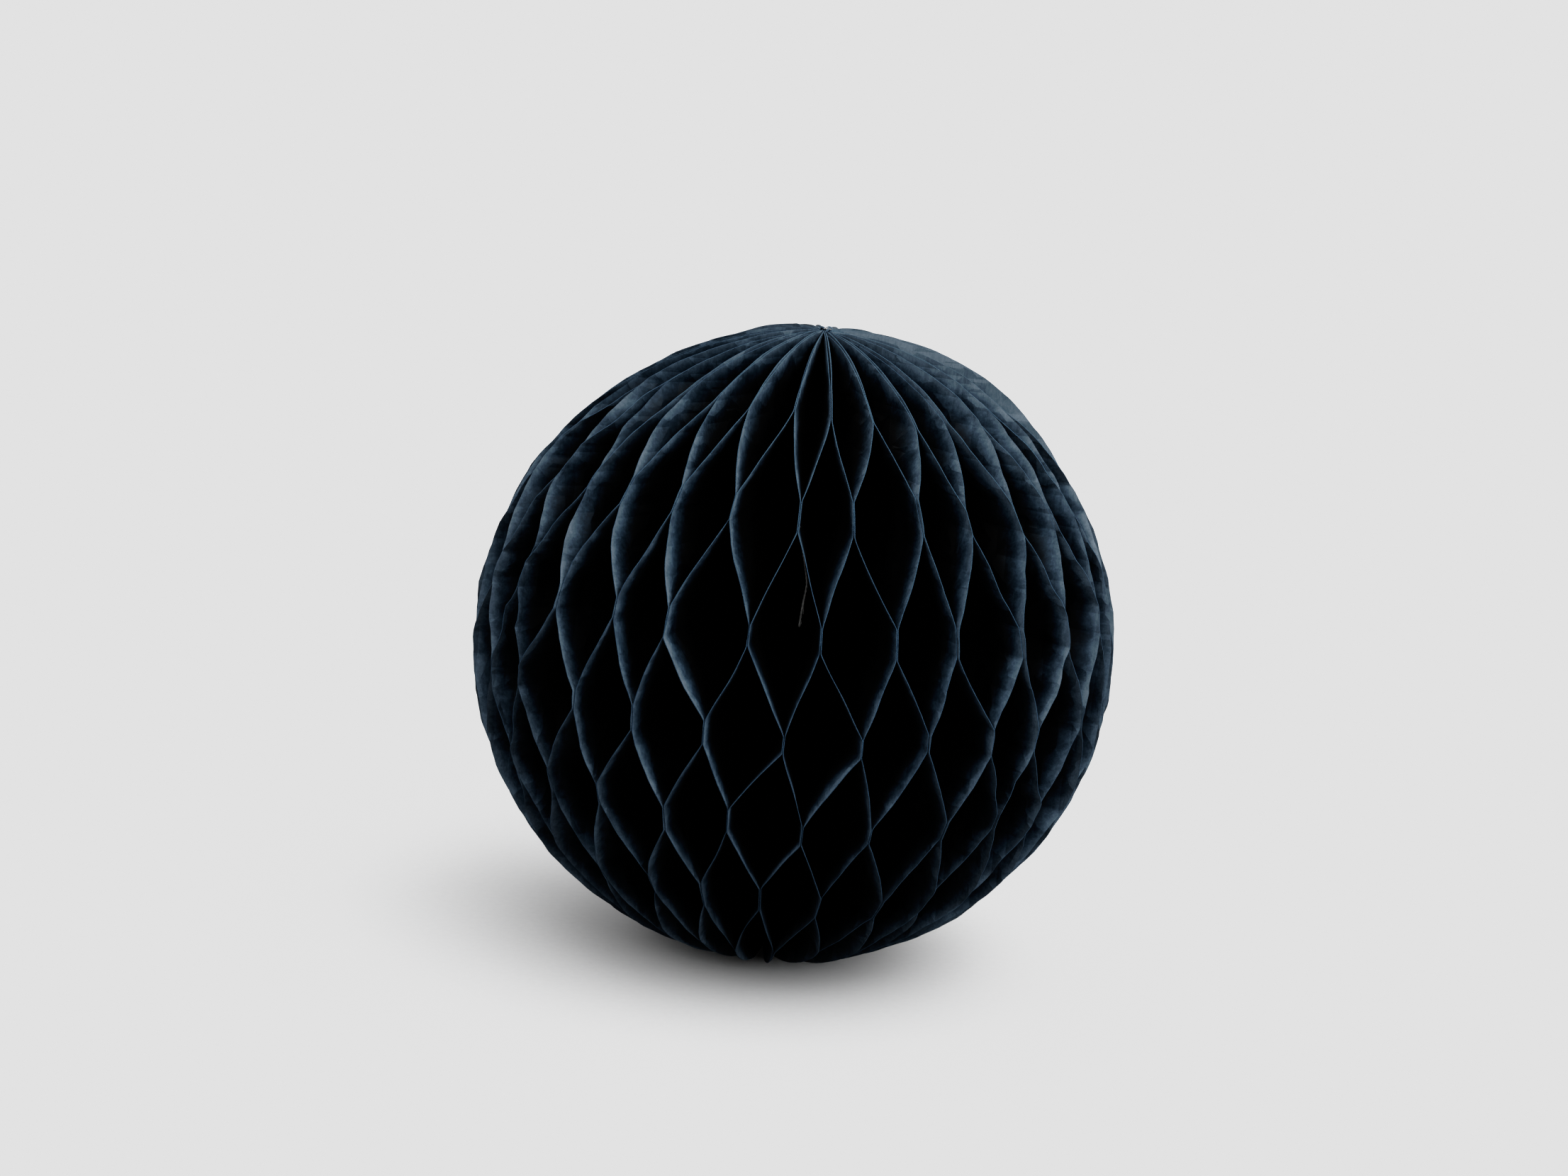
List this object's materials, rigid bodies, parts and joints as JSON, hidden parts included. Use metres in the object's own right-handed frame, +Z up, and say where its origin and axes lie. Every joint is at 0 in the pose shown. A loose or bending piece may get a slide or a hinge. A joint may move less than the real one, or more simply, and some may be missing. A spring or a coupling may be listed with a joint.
{
  "type": "paper honeycomb ball",
  "caption": "Round standing decoration of zigzag paper half-discs glued in a honeycomb and fanned round a spine; it folds flat between two card covers.",
  "frame": {"origin": "middle of the foot that the ball stands on, on the spine's axis", "axes": "+Z up along the spine; the covers meet in the half-plane +Y, so -Y is the front"},
  "size_m": [0.1006, 0.1, 0.0996],
  "materials": {
    "leaf_paper": "matt dark navy uncoated paper",
    "cover_card": "matt dark navy card",
    "tape": "thin translucent double-sided tape",
    "thread": "pale grey twisted cotton"
  },
  "bodies": {
    "fixed_cover": {"fixed_cover": "cover_card", "closing_tape": "tape", "binding_thread": "thread"},
    "turning_cover": {"turning_cover": "cover_card"},
    "leaf_01": {"leaf_01": "leaf_paper"},
    "leaf_02": {"leaf_02": "leaf_paper"},
    "leaf_03": {"leaf_03": "leaf_paper"},
    "leaf_04": {"leaf_04": "leaf_paper"},
    "leaf_05": {"leaf_05": "leaf_paper"},
    "leaf_06": {"leaf_06": "leaf_paper"},
    "leaf_07": {"leaf_07": "leaf_paper"},
    "leaf_08": {"leaf_08": "leaf_paper"},
    "leaf_09": {"leaf_09": "leaf_paper"},
    "leaf_10": {"leaf_10": "leaf_paper"},
    "leaf_11": {"leaf_11": "leaf_paper"},
    "leaf_12": {"leaf_12": "leaf_paper"},
    "leaf_13": {"leaf_13": "leaf_paper"},
    "leaf_14": {"leaf_14": "leaf_paper"},
    "leaf_15": {"leaf_15": "leaf_paper"},
    "leaf_16": {"leaf_16": "leaf_paper"},
    "leaf_17": {"leaf_17": "leaf_paper"},
    "leaf_18": {"leaf_18": "leaf_paper"},
    "leaf_19": {"leaf_19": "leaf_paper"},
    "leaf_20": {"leaf_20": "leaf_paper"},
    "leaf_21": {"leaf_21": "leaf_paper"},
    "leaf_22": {"leaf_22": "leaf_paper"},
    "leaf_23": {"leaf_23": "leaf_paper"},
    "leaf_24": {"leaf_24": "leaf_paper"},
    "leaf_25": {"leaf_25": "leaf_paper"},
    "leaf_26": {"leaf_26": "leaf_paper"},
    "leaf_27": {"leaf_27": "leaf_paper"},
    "leaf_28": {"leaf_28": "leaf_paper"},
    "leaf_29": {"leaf_29": "leaf_paper"},
    "leaf_30": {"leaf_30": "leaf_paper"},
    "leaf_31": {"leaf_31": "leaf_paper"},
    "leaf_32": {"leaf_32": "leaf_paper"},
    "leaf_33": {"leaf_33": "leaf_paper"},
    "leaf_34": {"leaf_34": "leaf_paper"},
    "leaf_35": {"leaf_35": "leaf_paper"},
    "leaf_36": {"leaf_36": "leaf_paper"},
    "leaf_37": {"leaf_37": "leaf_paper"},
    "leaf_38": {"leaf_38": "leaf_paper"},
    "leaf_39": {"leaf_39": "leaf_paper"},
    "leaf_40": {"leaf_40": "leaf_paper"},
    "leaf_41": {"leaf_41": "leaf_paper"},
    "leaf_42": {"leaf_42": "leaf_paper"},
    "leaf_43": {"leaf_43": "leaf_paper"},
    "leaf_44": {"leaf_44": "leaf_paper"},
    "leaf_45": {"leaf_45": "leaf_paper"},
    "leaf_46": {"leaf_46": "leaf_paper"},
    "leaf_47": {"leaf_47": "leaf_paper"},
    "leaf_48": {"leaf_48": "leaf_paper"},
    "leaf_49": {"leaf_49": "leaf_paper"},
    "leaf_50": {"leaf_50": "leaf_paper"},
    "leaf_51": {"leaf_51": "leaf_paper"},
    "leaf_52": {"leaf_52": "leaf_paper"},
    "leaf_53": {"leaf_53": "leaf_paper"},
    "leaf_54": {"leaf_54": "leaf_paper"},
    "leaf_55": {"leaf_55": "leaf_paper"},
    "leaf_56": {"leaf_56": "leaf_paper"}
  },
  "joints": [
    {"name": "fold", "type": "hinge", "parent": "fixed_cover", "child": "turning_cover", "pos_m": [0, 0, 0], "axis": [0, 0, 1], "range_deg": [-348, 0], "deforming": ["leaf_01", "leaf_02", "leaf_03", "leaf_04", "leaf_05", "leaf_06", "leaf_07", "leaf_08", "leaf_09", "leaf_10", "leaf_11", "leaf_12", "leaf_13", "leaf_14", "leaf_15", "leaf_16", "leaf_17", "leaf_18", "leaf_19", "leaf_20", "leaf_21", "leaf_22", "leaf_23", "leaf_24", "leaf_25", "leaf_26", "leaf_27", "leaf_28", "leaf_29", "leaf_30", "leaf_31", "leaf_32", "leaf_33", "leaf_34", "leaf_35", "leaf_36", "leaf_37", "leaf_38", "leaf_39", "leaf_40", "leaf_41", "leaf_42", "leaf_43", "leaf_44", "leaf_45", "leaf_46", "leaf_47", "leaf_48", "leaf_49", "leaf_50", "leaf_51", "leaf_52", "leaf_53", "leaf_54", "leaf_55", "leaf_56"]},
    {"name": "leaf_01_turn", "type": "hinge", "parent": "fixed_cover", "child": "leaf_01", "pos_m": [0, 0, 0], "axis": [0, 0, 1], "range_deg": [-3.61, 0.5]},
    {"name": "leaf_02_turn", "type": "hinge", "parent": "fixed_cover", "child": "leaf_02", "pos_m": [0, 0, 0], "axis": [0, 0, 1], "range_deg": [-9.82, 0.5]},
    {"name": "leaf_03_turn", "type": "hinge", "parent": "fixed_cover", "child": "leaf_03", "pos_m": [0, 0, 0], "axis": [0, 0, 1], "range_deg": [-16.04, 0.5]},
    {"name": "leaf_04_turn", "type": "hinge", "parent": "fixed_cover", "child": "leaf_04", "pos_m": [0, 0, 0], "axis": [0, 0, 1], "range_deg": [-22.25, 0.5]},
    {"name": "leaf_05_turn", "type": "hinge", "parent": "fixed_cover", "child": "leaf_05", "pos_m": [0, 0, 0], "axis": [0, 0, 1], "range_deg": [-28.46, 0.5]},
    {"name": "leaf_06_turn", "type": "hinge", "parent": "fixed_cover", "child": "leaf_06", "pos_m": [0, 0, 0], "axis": [0, 0, 1], "range_deg": [-34.68, 0.5]},
    {"name": "leaf_07_turn", "type": "hinge", "parent": "fixed_cover", "child": "leaf_07", "pos_m": [0, 0, 0], "axis": [0, 0, 1], "range_deg": [-40.89, 0.5]},
    {"name": "leaf_08_turn", "type": "hinge", "parent": "fixed_cover", "child": "leaf_08", "pos_m": [0, 0, 0], "axis": [0, 0, 1], "range_deg": [-47.11, 0.5]},
    {"name": "leaf_09_turn", "type": "hinge", "parent": "fixed_cover", "child": "leaf_09", "pos_m": [0, 0, 0], "axis": [0, 0, 1], "range_deg": [-53.32, 0.5]},
    {"name": "leaf_10_turn", "type": "hinge", "parent": "fixed_cover", "child": "leaf_10", "pos_m": [0, 0, 0], "axis": [0, 0, 1], "range_deg": [-59.54, 0.5]},
    {"name": "leaf_11_turn", "type": "hinge", "parent": "fixed_cover", "child": "leaf_11", "pos_m": [0, 0, 0], "axis": [0, 0, 1], "range_deg": [-65.75, 0.5]},
    {"name": "leaf_12_turn", "type": "hinge", "parent": "fixed_cover", "child": "leaf_12", "pos_m": [0, 0, 0], "axis": [0, 0, 1], "range_deg": [-71.96, 0.5]},
    {"name": "leaf_13_turn", "type": "hinge", "parent": "fixed_cover", "child": "leaf_13", "pos_m": [0, 0, 0], "axis": [0, 0, 1], "range_deg": [-78.18, 0.5]},
    {"name": "leaf_14_turn", "type": "hinge", "parent": "fixed_cover", "child": "leaf_14", "pos_m": [0, 0, 0], "axis": [0, 0, 1], "range_deg": [-84.39, 0.5]},
    {"name": "leaf_15_turn", "type": "hinge", "parent": "fixed_cover", "child": "leaf_15", "pos_m": [0, 0, 0], "axis": [0, 0, 1], "range_deg": [-90.61, 0.5]},
    {"name": "leaf_16_turn", "type": "hinge", "parent": "fixed_cover", "child": "leaf_16", "pos_m": [0, 0, 0], "axis": [0, 0, 1], "range_deg": [-96.82, 0.5]},
    {"name": "leaf_17_turn", "type": "hinge", "parent": "fixed_cover", "child": "leaf_17", "pos_m": [0, 0, 0], "axis": [0, 0, 1], "range_deg": [-103.04, 0.5]},
    {"name": "leaf_18_turn", "type": "hinge", "parent": "fixed_cover", "child": "leaf_18", "pos_m": [0, 0, 0], "axis": [0, 0, 1], "range_deg": [-109.25, 0.5]},
    {"name": "leaf_19_turn", "type": "hinge", "parent": "fixed_cover", "child": "leaf_19", "pos_m": [0, 0, 0], "axis": [0, 0, 1], "range_deg": [-115.46, 0.5]},
    {"name": "leaf_20_turn", "type": "hinge", "parent": "fixed_cover", "child": "leaf_20", "pos_m": [0, 0, 0], "axis": [0, 0, 1], "range_deg": [-121.68, 0.5]},
    {"name": "leaf_21_turn", "type": "hinge", "parent": "fixed_cover", "child": "leaf_21", "pos_m": [0, 0, 0], "axis": [0, 0, 1], "range_deg": [-127.89, 0.5]},
    {"name": "leaf_22_turn", "type": "hinge", "parent": "fixed_cover", "child": "leaf_22", "pos_m": [0, 0, 0], "axis": [0, 0, 1], "range_deg": [-134.11, 0.5]},
    {"name": "leaf_23_turn", "type": "hinge", "parent": "fixed_cover", "child": "leaf_23", "pos_m": [0, 0, 0], "axis": [0, 0, 1], "range_deg": [-140.32, 0.5]},
    {"name": "leaf_24_turn", "type": "hinge", "parent": "fixed_cover", "child": "leaf_24", "pos_m": [0, 0, 0], "axis": [0, 0, 1], "range_deg": [-146.54, 0.5]},
    {"name": "leaf_25_turn", "type": "hinge", "parent": "fixed_cover", "child": "leaf_25", "pos_m": [0, 0, 0], "axis": [0, 0, 1], "range_deg": [-152.75, 0.5]},
    {"name": "leaf_26_turn", "type": "hinge", "parent": "fixed_cover", "child": "leaf_26", "pos_m": [0, 0, 0], "axis": [0, 0, 1], "range_deg": [-158.96, 0.5]},
    {"name": "leaf_27_turn", "type": "hinge", "parent": "fixed_cover", "child": "leaf_27", "pos_m": [0, 0, 0], "axis": [0, 0, 1], "range_deg": [-165.18, 0.5]},
    {"name": "leaf_28_turn", "type": "hinge", "parent": "fixed_cover", "child": "leaf_28", "pos_m": [0, 0, 0], "axis": [0, 0, 1], "range_deg": [-171.39, 0.5]},
    {"name": "leaf_29_turn", "type": "hinge", "parent": "fixed_cover", "child": "leaf_29", "pos_m": [0, 0, 0], "axis": [0, 0, 1], "range_deg": [-177.61, 0.5]},
    {"name": "leaf_30_turn", "type": "hinge", "parent": "fixed_cover", "child": "leaf_30", "pos_m": [0, 0, 0], "axis": [0, 0, 1], "range_deg": [-183.82, 0.5]},
    {"name": "leaf_31_turn", "type": "hinge", "parent": "fixed_cover", "child": "leaf_31", "pos_m": [0, 0, 0], "axis": [0, 0, 1], "range_deg": [-190.04, 0.5]},
    {"name": "leaf_32_turn", "type": "hinge", "parent": "fixed_cover", "child": "leaf_32", "pos_m": [0, 0, 0], "axis": [0, 0, 1], "range_deg": [-196.25, 0.5]},
    {"name": "leaf_33_turn", "type": "hinge", "parent": "fixed_cover", "child": "leaf_33", "pos_m": [0, 0, 0], "axis": [0, 0, 1], "range_deg": [-202.46, 0.5]},
    {"name": "leaf_34_turn", "type": "hinge", "parent": "fixed_cover", "child": "leaf_34", "pos_m": [0, 0, 0], "axis": [0, 0, 1], "range_deg": [-208.68, 0.5]},
    {"name": "leaf_35_turn", "type": "hinge", "parent": "fixed_cover", "child": "leaf_35", "pos_m": [0, 0, 0], "axis": [0, 0, 1], "range_deg": [-214.89, 0.5]},
    {"name": "leaf_36_turn", "type": "hinge", "parent": "fixed_cover", "child": "leaf_36", "pos_m": [0, 0, 0], "axis": [0, 0, 1], "range_deg": [-221.11, 0.5]},
    {"name": "leaf_37_turn", "type": "hinge", "parent": "fixed_cover", "child": "leaf_37", "pos_m": [0, 0, 0], "axis": [0, 0, 1], "range_deg": [-227.32, 0.5]},
    {"name": "leaf_38_turn", "type": "hinge", "parent": "fixed_cover", "child": "leaf_38", "pos_m": [0, 0, 0], "axis": [0, 0, 1], "range_deg": [-233.54, 0.5]},
    {"name": "leaf_39_turn", "type": "hinge", "parent": "fixed_cover", "child": "leaf_39", "pos_m": [0, 0, 0], "axis": [0, 0, 1], "range_deg": [-239.75, 0.5]},
    {"name": "leaf_40_turn", "type": "hinge", "parent": "fixed_cover", "child": "leaf_40", "pos_m": [0, 0, 0], "axis": [0, 0, 1], "range_deg": [-245.96, 0.5]},
    {"name": "leaf_41_turn", "type": "hinge", "parent": "fixed_cover", "child": "leaf_41", "pos_m": [0, 0, 0], "axis": [0, 0, 1], "range_deg": [-252.18, 0.5]},
    {"name": "leaf_42_turn", "type": "hinge", "parent": "fixed_cover", "child": "leaf_42", "pos_m": [0, 0, 0], "axis": [0, 0, 1], "range_deg": [-258.39, 0.5]},
    {"name": "leaf_43_turn", "type": "hinge", "parent": "fixed_cover", "child": "leaf_43", "pos_m": [0, 0, 0], "axis": [0, 0, 1], "range_deg": [-264.61, 0.5]},
    {"name": "leaf_44_turn", "type": "hinge", "parent": "fixed_cover", "child": "leaf_44", "pos_m": [0, 0, 0], "axis": [0, 0, 1], "range_deg": [-270.82, 0.5]},
    {"name": "leaf_45_turn", "type": "hinge", "parent": "fixed_cover", "child": "leaf_45", "pos_m": [0, 0, 0], "axis": [0, 0, 1], "range_deg": [-277.04, 0.5]},
    {"name": "leaf_46_turn", "type": "hinge", "parent": "fixed_cover", "child": "leaf_46", "pos_m": [0, 0, 0], "axis": [0, 0, 1], "range_deg": [-283.25, 0.5]},
    {"name": "leaf_47_turn", "type": "hinge", "parent": "fixed_cover", "child": "leaf_47", "pos_m": [0, 0, 0], "axis": [0, 0, 1], "range_deg": [-289.46, 0.5]},
    {"name": "leaf_48_turn", "type": "hinge", "parent": "fixed_cover", "child": "leaf_48", "pos_m": [0, 0, 0], "axis": [0, 0, 1], "range_deg": [-295.68, 0.5]},
    {"name": "leaf_49_turn", "type": "hinge", "parent": "fixed_cover", "child": "leaf_49", "pos_m": [0, 0, 0], "axis": [0, 0, 1], "range_deg": [-301.89, 0.5]},
    {"name": "leaf_50_turn", "type": "hinge", "parent": "fixed_cover", "child": "leaf_50", "pos_m": [0, 0, 0], "axis": [0, 0, 1], "range_deg": [-308.11, 0.5]},
    {"name": "leaf_51_turn", "type": "hinge", "parent": "fixed_cover", "child": "leaf_51", "pos_m": [0, 0, 0], "axis": [0, 0, 1], "range_deg": [-314.32, 0.5]},
    {"name": "leaf_52_turn", "type": "hinge", "parent": "fixed_cover", "child": "leaf_52", "pos_m": [0, 0, 0], "axis": [0, 0, 1], "range_deg": [-320.54, 0.5]},
    {"name": "leaf_53_turn", "type": "hinge", "parent": "fixed_cover", "child": "leaf_53", "pos_m": [0, 0, 0], "axis": [0, 0, 1], "range_deg": [-326.75, 0.5]},
    {"name": "leaf_54_turn", "type": "hinge", "parent": "fixed_cover", "child": "leaf_54", "pos_m": [0, 0, 0], "axis": [0, 0, 1], "range_deg": [-332.96, 0.5]},
    {"name": "leaf_55_turn", "type": "hinge", "parent": "fixed_cover", "child": "leaf_55", "pos_m": [0, 0, 0], "axis": [0, 0, 1], "range_deg": [-339.18, 0.5]},
    {"name": "leaf_56_turn", "type": "hinge", "parent": "fixed_cover", "child": "leaf_56", "pos_m": [0, 0, 0], "axis": [0, 0, 1], "range_deg": [-345.39, 0.5]}
  ],
  "couplings": [
    {"joint": "leaf_01_turn", "follows": "fold", "ratio": 0.008929},
    {"joint": "leaf_02_turn", "follows": "fold", "ratio": 0.026786},
    {"joint": "leaf_03_turn", "follows": "fold", "ratio": 0.044643},
    {"joint": "leaf_04_turn", "follows": "fold", "ratio": 0.0625},
    {"joint": "leaf_05_turn", "follows": "fold", "ratio": 0.080357},
    {"joint": "leaf_06_turn", "follows": "fold", "ratio": 0.098214},
    {"joint": "leaf_07_turn", "follows": "fold", "ratio": 0.11607},
    {"joint": "leaf_08_turn", "follows": "fold", "ratio": 0.13393},
    {"joint": "leaf_09_turn", "follows": "fold", "ratio": 0.15179},
    {"joint": "leaf_10_turn", "follows": "fold", "ratio": 0.16964},
    {"joint": "leaf_11_turn", "follows": "fold", "ratio": 0.1875},
    {"joint": "leaf_12_turn", "follows": "fold", "ratio": 0.20536},
    {"joint": "leaf_13_turn", "follows": "fold", "ratio": 0.22321},
    {"joint": "leaf_14_turn", "follows": "fold", "ratio": 0.24107},
    {"joint": "leaf_15_turn", "follows": "fold", "ratio": 0.25893},
    {"joint": "leaf_16_turn", "follows": "fold", "ratio": 0.27679},
    {"joint": "leaf_17_turn", "follows": "fold", "ratio": 0.29464},
    {"joint": "leaf_18_turn", "follows": "fold", "ratio": 0.3125},
    {"joint": "leaf_19_turn", "follows": "fold", "ratio": 0.33036},
    {"joint": "leaf_20_turn", "follows": "fold", "ratio": 0.34821},
    {"joint": "leaf_21_turn", "follows": "fold", "ratio": 0.36607},
    {"joint": "leaf_22_turn", "follows": "fold", "ratio": 0.38393},
    {"joint": "leaf_23_turn", "follows": "fold", "ratio": 0.40179},
    {"joint": "leaf_24_turn", "follows": "fold", "ratio": 0.41964},
    {"joint": "leaf_25_turn", "follows": "fold", "ratio": 0.4375},
    {"joint": "leaf_26_turn", "follows": "fold", "ratio": 0.45536},
    {"joint": "leaf_27_turn", "follows": "fold", "ratio": 0.47321},
    {"joint": "leaf_28_turn", "follows": "fold", "ratio": 0.49107},
    {"joint": "leaf_29_turn", "follows": "fold", "ratio": 0.50893},
    {"joint": "leaf_30_turn", "follows": "fold", "ratio": 0.52679},
    {"joint": "leaf_31_turn", "follows": "fold", "ratio": 0.54464},
    {"joint": "leaf_32_turn", "follows": "fold", "ratio": 0.5625},
    {"joint": "leaf_33_turn", "follows": "fold", "ratio": 0.58036},
    {"joint": "leaf_34_turn", "follows": "fold", "ratio": 0.59821},
    {"joint": "leaf_35_turn", "follows": "fold", "ratio": 0.61607},
    {"joint": "leaf_36_turn", "follows": "fold", "ratio": 0.63393},
    {"joint": "leaf_37_turn", "follows": "fold", "ratio": 0.65179},
    {"joint": "leaf_38_turn", "follows": "fold", "ratio": 0.66964},
    {"joint": "leaf_39_turn", "follows": "fold", "ratio": 0.6875},
    {"joint": "leaf_40_turn", "follows": "fold", "ratio": 0.70536},
    {"joint": "leaf_41_turn", "follows": "fold", "ratio": 0.72321},
    {"joint": "leaf_42_turn", "follows": "fold", "ratio": 0.74107},
    {"joint": "leaf_43_turn", "follows": "fold", "ratio": 0.75893},
    {"joint": "leaf_44_turn", "follows": "fold", "ratio": 0.77679},
    {"joint": "leaf_45_turn", "follows": "fold", "ratio": 0.79464},
    {"joint": "leaf_46_turn", "follows": "fold", "ratio": 0.8125},
    {"joint": "leaf_47_turn", "follows": "fold", "ratio": 0.83036},
    {"joint": "leaf_48_turn", "follows": "fold", "ratio": 0.84821},
    {"joint": "leaf_49_turn", "follows": "fold", "ratio": 0.86607},
    {"joint": "leaf_50_turn", "follows": "fold", "ratio": 0.88393},
    {"joint": "leaf_51_turn", "follows": "fold", "ratio": 0.90179},
    {"joint": "leaf_52_turn", "follows": "fold", "ratio": 0.91964},
    {"joint": "leaf_53_turn", "follows": "fold", "ratio": 0.9375},
    {"joint": "leaf_54_turn", "follows": "fold", "ratio": 0.95536},
    {"joint": "leaf_55_turn", "follows": "fold", "ratio": 0.97321},
    {"joint": "leaf_56_turn", "follows": "fold", "ratio": 0.99107}
  ]
}
